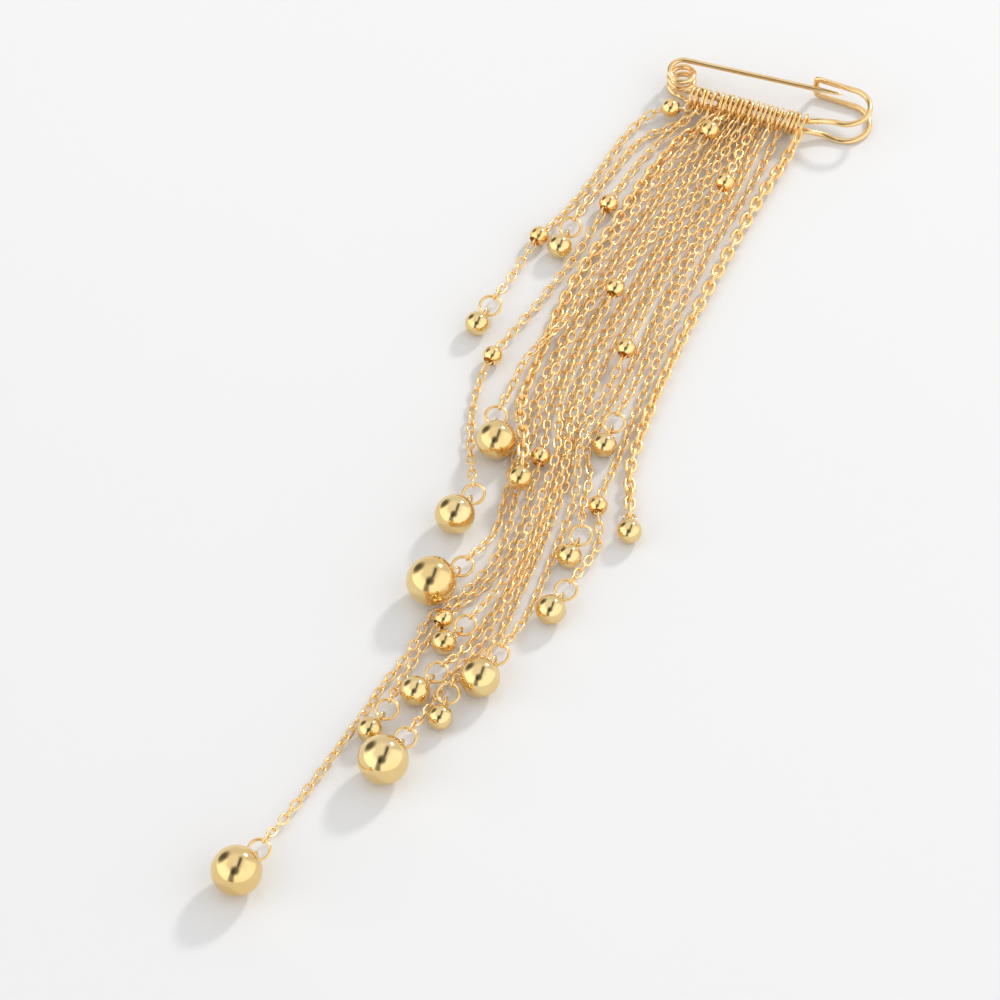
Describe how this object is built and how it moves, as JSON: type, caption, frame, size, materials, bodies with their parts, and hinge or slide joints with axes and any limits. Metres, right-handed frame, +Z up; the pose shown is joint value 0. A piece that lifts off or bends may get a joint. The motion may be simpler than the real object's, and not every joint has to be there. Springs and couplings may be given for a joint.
{
  "type": "lapel chain",
  "caption": "Lapel chain brooch: a sprung safety pin with a double bar that carries a row of rings, a tassel of cable chains of uneven length, stop beads and polished ball drops.",
  "frame": {"origin": "centre of the object's outline on the surface that it lies on", "axes": "+X along the pin's bars from the coil to the head, +Y away from the tassel, +Z up from the surface"},
  "size_m": [0.0648, 0.2306, 0.01],
  "materials": {
    "pin_gold": "polished gold plate on brass wire",
    "ring_gold": "polished gold plate on brass wire",
    "chain_gold": "gold plate on soldered cable chain",
    "ball_gold": "mirror polished gold plate on a hollow ball",
    "bead_gold": "polished gold plate on a drilled bead"
  },
  "bodies": {
    "frame": {"pin_frame": "pin_gold", "row_rings": "ring_gold", "beads": "bead_gold", "chain_01": "chain_gold", "chain_02": "chain_gold", "chain_03": "chain_gold", "chain_04": "chain_gold", "chain_05": "chain_gold", "chain_06": "chain_gold", "chain_07": "chain_gold", "chain_08": "chain_gold", "chain_09": "chain_gold", "chain_10": "chain_gold", "chain_11": "chain_gold", "chain_12": "chain_gold", "chain_13": "chain_gold", "chain_14": "chain_gold", "chain_15": "chain_gold", "chain_16": "chain_gold", "chain_17": "chain_gold", "ball_01": "ball_gold", "ball_02": "ball_gold", "ball_03": "ball_gold", "ball_04": "ball_gold", "ball_05": "ball_gold", "ball_06": "ball_gold", "ball_07": "ball_gold", "ball_08": "ball_gold", "ball_09": "ball_gold", "ball_10": "ball_gold", "ball_11": "ball_gold", "ball_12": "ball_gold", "ball_13": "ball_gold", "ball_14": "ball_gold", "ball_15": "ball_gold", "ball_16": "ball_gold", "ball_17": "ball_gold", "jump_ring_01": "ring_gold", "jump_ring_02": "ring_gold", "jump_ring_03": "ring_gold", "jump_ring_04": "ring_gold", "jump_ring_05": "ring_gold", "jump_ring_06": "ring_gold", "jump_ring_07": "ring_gold", "jump_ring_08": "ring_gold", "jump_ring_09": "ring_gold", "jump_ring_10": "ring_gold", "jump_ring_11": "ring_gold", "jump_ring_12": "ring_gold", "jump_ring_13": "ring_gold", "jump_ring_14": "ring_gold", "jump_ring_15": "ring_gold"},
    "needle": {"pin_needle": "pin_gold"}
  },
  "joints": [
    {"name": "needle_swing", "type": "hinge", "parent": "frame", "child": "needle", "pos_m": [-0.00809, 0.10838, 0.0045], "axis": [0, 0, 1], "range_deg": [-10, 0], "stiffness_Nm_per_rad": 0.02}
  ]
}
